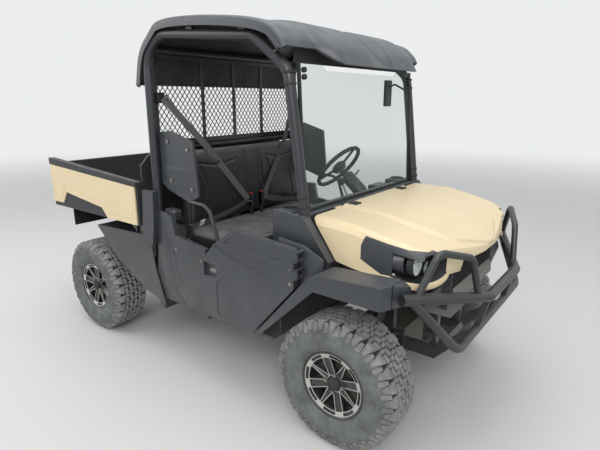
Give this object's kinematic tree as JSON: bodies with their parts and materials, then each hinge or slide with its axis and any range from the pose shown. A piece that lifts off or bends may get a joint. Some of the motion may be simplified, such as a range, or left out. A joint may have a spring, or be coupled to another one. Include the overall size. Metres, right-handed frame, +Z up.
{
  "type": "side by side utility vehicle",
  "caption": "Two-seat side by side utility vehicle with a tube cage, moulded roof, tan hood and tipping bed, brush guard and all-terrain tyres.",
  "frame": {"origin": "on the ground below the middle of the vehicle's outline", "axes": "+X forward along the vehicle, +Y to its left, +Z up"},
  "size_m": [3.07, 1.556, 2.053],
  "materials": {
    "tan_paint": "tan moulded plastic, lightly dusty",
    "dark_plastic": "textured charcoal moulded plastic",
    "black_steel": "black powder-coated steel",
    "bed_steel": "black coated sheet steel",
    "tyre_rubber": "dusty tyre rubber",
    "rim_alloy": "black alloy with machined faces",
    "vinyl": "black seat vinyl",
    "webbing": "grey webbing",
    "clear_screen": "clear polycarbonate",
    "lamp_glass": "clear lamp lens over reflector",
    "red_lens": "red lamp lens",
    "cast_metal": "bare cast metal",
    "bright_steel": "plain steel",
    "mirror_shell": "black mirror shell"
  },
  "bodies": {
    "chassis": {"frame": "black_steel", "hitch_receiver": "black_steel", "floor_tub": "dark_plastic", "side_panels": "dark_plastic", "front_fenders": "dark_plastic", "roll_cage": "black_steel", "cowl": "dark_plastic", "dashboard": "dark_plastic", "steering_column": "black_steel", "grille": "dark_plastic", "roof": "dark_plastic", "windscreen": "clear_screen", "rear_screen": "black_steel", "seat_cushion": "vinyl", "seat_back": "vinyl", "shoulder_guards": "dark_plastic", "handholds": "black_steel", "seat_belts": "webbing", "belt_hardware": "dark_plastic", "rear_fenders": "dark_plastic", "brush_guard": "black_steel", "mirror": "mirror_shell", "tail_lamps": "red_lens", "muffler": "bright_steel", "engine_block": "cast_metal", "drive_line": "cast_metal", "front_arms": "black_steel", "rear_arms": "black_steel", "shocks": "black_steel"},
    "wheel_front_right": {"tyre_front_right": "tyre_rubber", "rim_front_right": "rim_alloy"},
    "wheel_front_left": {"tyre_front_left": "tyre_rubber", "rim_front_left": "rim_alloy"},
    "wheel_rear_right": {"tyre_rear_right": "tyre_rubber", "rim_rear_right": "rim_alloy"},
    "wheel_rear_left": {"tyre_rear_left": "tyre_rubber", "rim_rear_left": "rim_alloy"},
    "upright_right": {"knuckle_right": "cast_metal"},
    "upright_left": {"knuckle_left": "cast_metal"},
    "steering": {"steering_wheel": "dark_plastic"},
    "right_door": {"door_right": "dark_plastic"},
    "left_door": {"door_left": "dark_plastic"},
    "bonnet": {"hood": "tan_paint", "lamp_pods": "dark_plastic", "headlamps": "lamp_glass"},
    "bed": {"bed_tub": "bed_steel", "bed_panels": "tan_paint"},
    "gate": {"tailgate": "bed_steel"}
  },
  "joints": [
    {"name": "steer_right", "type": "hinge", "parent": "chassis", "child": "upright_right", "pos_m": [0.97, -0.56, 0.33], "axis": [0, 0, 1], "range_deg": [-28, 28]},
    {"name": "steer_left", "type": "hinge", "parent": "chassis", "child": "upright_left", "pos_m": [0.97, 0.56, 0.33], "axis": [0, 0, 1], "range_deg": [-28, 28]},
    {"name": "steering_wheel_turn", "type": "hinge", "parent": "chassis", "child": "steering", "pos_m": [0.29, 0.36, 1.19], "axis": [-0.766, 0, 0.6428], "range_deg": [-504.5, 504.5]},
    {"name": "roll_front_right", "type": "hinge", "parent": "upright_right", "child": "wheel_front_right", "pos_m": [0.97, -0.622, 0.33], "axis": [0, 1, 0], "continuous": true},
    {"name": "roll_front_left", "type": "hinge", "parent": "upright_left", "child": "wheel_front_left", "pos_m": [0.97, 0.622, 0.33], "axis": [0, 1, 0], "continuous": true},
    {"name": "roll_rear_right", "type": "hinge", "parent": "chassis", "child": "wheel_rear_right", "pos_m": [-1.09, -0.622, 0.33], "axis": [0, 1, 0], "continuous": true},
    {"name": "roll_rear_left", "type": "hinge", "parent": "chassis", "child": "wheel_rear_left", "pos_m": [-1.09, 0.622, 0.33], "axis": [0, 1, 0], "continuous": true},
    {"name": "door_right_hinge", "type": "hinge", "parent": "chassis", "child": "right_door", "pos_m": [0.786, -0.757, 0.9], "axis": [0, 0, 1], "range_deg": [0, 70]},
    {"name": "door_left_hinge", "type": "hinge", "parent": "chassis", "child": "left_door", "pos_m": [0.786, 0.757, 0.9], "axis": [0, 0, -1], "range_deg": [0, 70]},
    {"name": "hood_hinge", "type": "hinge", "parent": "chassis", "child": "bonnet", "pos_m": [0.7565, 0, 1.1], "axis": [0, -1, 0], "range_deg": [0, 50]},
    {"name": "bed_hinge", "type": "hinge", "parent": "chassis", "child": "bed", "pos_m": [-1.39, 0, 0.8], "axis": [0, -1, 0], "range_deg": [0, 40]},
    {"name": "tailgate_hinge", "type": "hinge", "parent": "bed", "child": "gate", "pos_m": [-1.485, 0, 0.895], "axis": [0, -1, 0], "range_deg": [0, 90]}
  ],
  "couplings": [
    {"joint": "steer_left", "follows": "steer_right", "ratio": 1},
    {"joint": "steering_wheel_turn", "follows": "steer_right", "ratio": 18}
  ]
}
